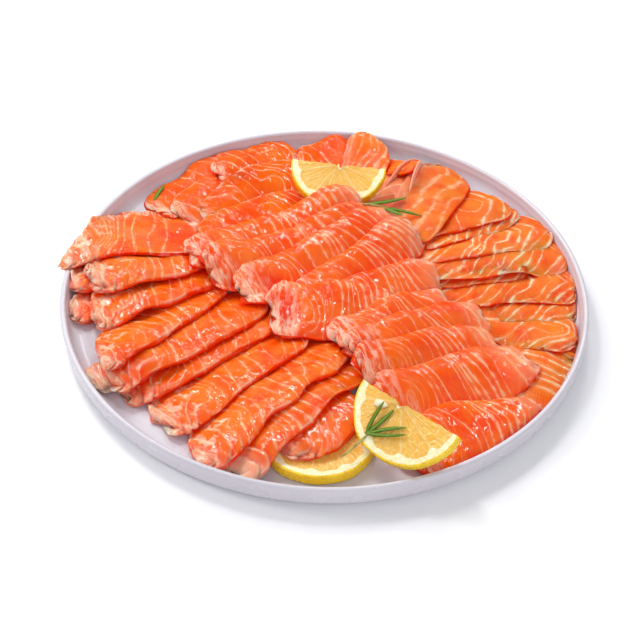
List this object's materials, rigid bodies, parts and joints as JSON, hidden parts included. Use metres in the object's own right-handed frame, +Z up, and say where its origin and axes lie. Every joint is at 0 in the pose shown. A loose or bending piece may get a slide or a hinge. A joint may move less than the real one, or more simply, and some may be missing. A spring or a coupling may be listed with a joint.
{
  "type": "raw salmon slice platter",
  "caption": "Round low-walled stoneware plate heaped with fanned strips of raw salmon, a whole lemon slice, half lemon slices and rosemary.",
  "frame": {"origin": "on the table under the middle of the plate", "axes": "+Z up, +X to the right and +Y to the back, seen from the side that shows the lemon slices in front"},
  "size_m": [0.3, 0.3, 0.0372],
  "materials": {
    "glaze": "smooth pale grey glaze, slightly wavy",
    "flesh": "moist raw salmon with thin pale fat lines",
    "lemon": "cut lemon, moist pulp in a pale pith and a pored yellow rind",
    "leaf": "dark green needle leaves with a pale midrib"
  },
  "bodies": {
    "root": {"plate": "glaze", "lemon_whole": "lemon", "salmon_west_01": "flesh", "salmon_west_02": "flesh", "salmon_west_03": "flesh", "salmon_west_04": "flesh", "salmon_west_05": "flesh", "salmon_west_06": "flesh", "salmon_west_07": "flesh", "salmon_west_08": "flesh", "salmon_west_09": "flesh", "salmon_west_10": "flesh", "salmon_west_11": "flesh", "salmon_west_12": "flesh", "salmon_west_13": "flesh", "salmon_east_01": "flesh", "salmon_east_02": "flesh", "salmon_east_03": "flesh", "salmon_east_04": "flesh", "salmon_east_05": "flesh", "salmon_east_06": "flesh", "salmon_east_07": "flesh", "salmon_east_08": "flesh", "salmon_east_09": "flesh", "salmon_east_10": "flesh", "salmon_east_11": "flesh", "salmon_east_12": "flesh", "salmon_east_13": "flesh", "salmon_north_01": "flesh", "salmon_north_02": "flesh", "salmon_north_03": "flesh", "salmon_north_04": "flesh", "salmon_north_05": "flesh", "salmon_north_06": "flesh", "salmon_north_07": "flesh", "salmon_north_08": "flesh", "lemon_half_rear": "lemon", "salmon_centre_01": "flesh", "salmon_centre_02": "flesh", "salmon_centre_03": "flesh", "salmon_centre_04": "flesh", "salmon_centre_05": "flesh", "salmon_centre_06": "flesh", "salmon_centre_07": "flesh", "salmon_centre_08": "flesh", "salmon_centre_09": "flesh", "salmon_centre_10": "flesh", "salmon_centre_11": "flesh", "lemon_half_front": "lemon", "rosemary_leaf": "leaf", "rosemary_rear": "leaf", "rosemary_front": "leaf"}
  },
  "joints": []
}
